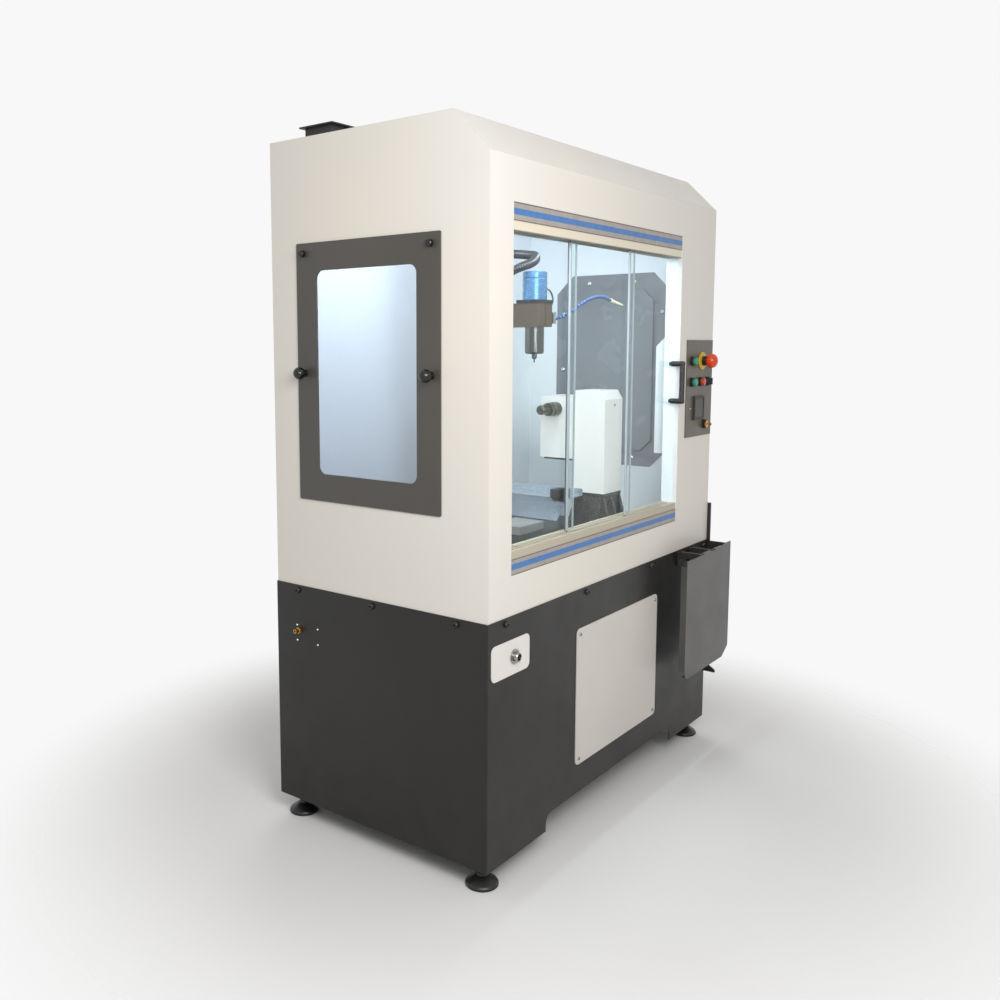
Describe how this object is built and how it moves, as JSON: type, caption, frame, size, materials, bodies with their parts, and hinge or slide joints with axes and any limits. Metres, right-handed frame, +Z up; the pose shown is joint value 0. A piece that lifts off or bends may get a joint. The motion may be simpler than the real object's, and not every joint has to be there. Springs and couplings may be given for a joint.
{
  "type": "bangle cutting machine",
  "caption": "Enclosed bangle cutting machine with a glazed sliding-door hood, milling spindle on a column, rotary mandrel on a cross slide and a sheet-steel base on levelling feet.",
  "frame": {"origin": "on the floor, at the centre of the outline seen from above", "axes": "+Z up, -Y towards the person at the sliding panes, +X to that person's right"},
  "size_m": [1.3746, 0.8206, 1.945],
  "materials": {
    "hood": "satin powder coat",
    "base": "fine-textured powder coat",
    "trim": "satin powder coat",
    "plate": "satin",
    "casting": "painted casting",
    "steel": "ground",
    "black_steel": "black oxide",
    "black_plastic": "moulded",
    "beige": "extruded",
    "stripe": "printed strip",
    "pane": "clear",
    "frosted": "frosted",
    "cover": "satin",
    "arm": "anodised",
    "motor": "anodised blue",
    "green": "moulded",
    "red": "moulded",
    "yellow": "moulded",
    "navy": "moulded",
    "brass": "turned",
    "blue_hose": "moulded links",
    "rubber": "smooth"
  },
  "bodies": {
    "machine": {"base_front": "base", "base_left": "base", "base_right": "base", "base_rear": "base", "notch_lips": "base", "base_frame": "casting", "bed_plate": "casting", "levelling_feet": "black_steel", "access_panel": "hood", "connector_plate": "hood", "connector_shell": "steel", "air_inlet": "brass", "rim_bolts": "black_steel", "panel_screws": "steel", "hood_left": "hood", "hood_right": "hood", "hood_rear": "hood", "hood_roof": "hood", "hood_front": "hood", "window_frame": "trim", "window_glass": "frosted", "window_knobs": "black_plastic", "vent_spigot": "black_steel", "service_cover": "cover", "top_track": "beige", "bottom_track": "beige", "track_strips": "stripe", "control_plate": "plate", "control_box": "hood", "button_bezels": "black_plastic", "stop_collar": "yellow", "meter": "black_plastic", "shelf_bracket": "base", "column": "hood", "guide_rails": "steel", "conduit": "rubber"},
    "door_left": {"pane_left": "pane"},
    "door_mid": {"pane_mid": "pane"},
    "door_right": {"pane_right": "pane", "door_handle": "black_plastic"},
    "stop": {"stop_head": "red"},
    "start": {"start_button": "green"},
    "green": {"green_button": "green"},
    "red": {"red_button": "red"},
    "selector": {"selector_knob": "navy"},
    "key": {"key_lock": "brass"},
    "shelf": {"shelf_pan": "trim"},
    "z_head": {"z_slide": "hood", "spindle_arm": "arm", "spindle_motor": "motor", "spindle_body": "steel", "coolant_fitting": "steel", "coolant_hose": "blue_hose", "air_tube": "rubber"},
    "spindle": {"tool_collet": "steel"},
    "x_head": {"saddle": "casting", "headstock": "hood", "drive_housing": "hood", "chip_tray": "cover"},
    "work_mandrel": {"mandrel": "steel"}
  },
  "joints": [
    {"name": "door_left_slide", "type": "slide", "parent": "machine", "child": "door_left", "axis": [1, 0, 0], "range_m": [0, 0.59]},
    {"name": "door_mid_slide", "type": "slide", "parent": "machine", "child": "door_mid", "axis": [1, 0, 0], "range_m": [-0.31, 0.27]},
    {"name": "door_right_slide", "type": "slide", "parent": "machine", "child": "door_right", "axis": [1, 0, 0], "range_m": [-0.63, 0]},
    {"name": "stop_press", "type": "slide", "parent": "machine", "child": "stop", "axis": [0, 1, 0], "range_m": [0, 0.003], "stiffness_N_per_m": 800},
    {"name": "start_press", "type": "slide", "parent": "machine", "child": "start", "axis": [0, 1, 0], "range_m": [0, 0.003], "stiffness_N_per_m": 400},
    {"name": "green_press", "type": "slide", "parent": "machine", "child": "green", "axis": [0, 1, 0], "range_m": [0, 0.003], "stiffness_N_per_m": 400},
    {"name": "red_press", "type": "slide", "parent": "machine", "child": "red", "axis": [0, 1, 0], "range_m": [0, 0.003], "stiffness_N_per_m": 400},
    {"name": "selector_turn", "type": "hinge", "parent": "machine", "child": "selector", "pos_m": [0.63175, -0.32825, 1.234], "axis": [0, 1, 0], "range_deg": [-45, 45]},
    {"name": "key_turn", "type": "hinge", "parent": "machine", "child": "key", "pos_m": [0.61375, -0.32825, 1.092], "axis": [0, 1, 0], "range_deg": [0, 90]},
    {"name": "shelf_fold", "type": "hinge", "parent": "machine", "child": "shelf", "pos_m": [0.49925, -0.39825, 0.676], "axis": [-1, 0, 0], "range_deg": [0, 90]},
    {"name": "z_travel", "type": "slide", "parent": "machine", "child": "z_head", "axis": [0, 0, 1], "range_m": [-0.12, 0.04], "deforming": ["conduit"]},
    {"name": "spindle_turn", "type": "hinge", "parent": "z_head", "child": "spindle", "pos_m": [0.00975, -0.03725, 1.328], "axis": [0, 0, 1], "continuous": true},
    {"name": "x_travel", "type": "slide", "parent": "machine", "child": "x_head", "axis": [1, 0, 0], "range_m": [-0.1, 0.08]},
    {"name": "mandrel_turn", "type": "hinge", "parent": "x_head", "child": "work_mandrel", "pos_m": [0.14275, -0.03725, 1.156], "axis": [1, 0, 0], "continuous": true}
  ]
}
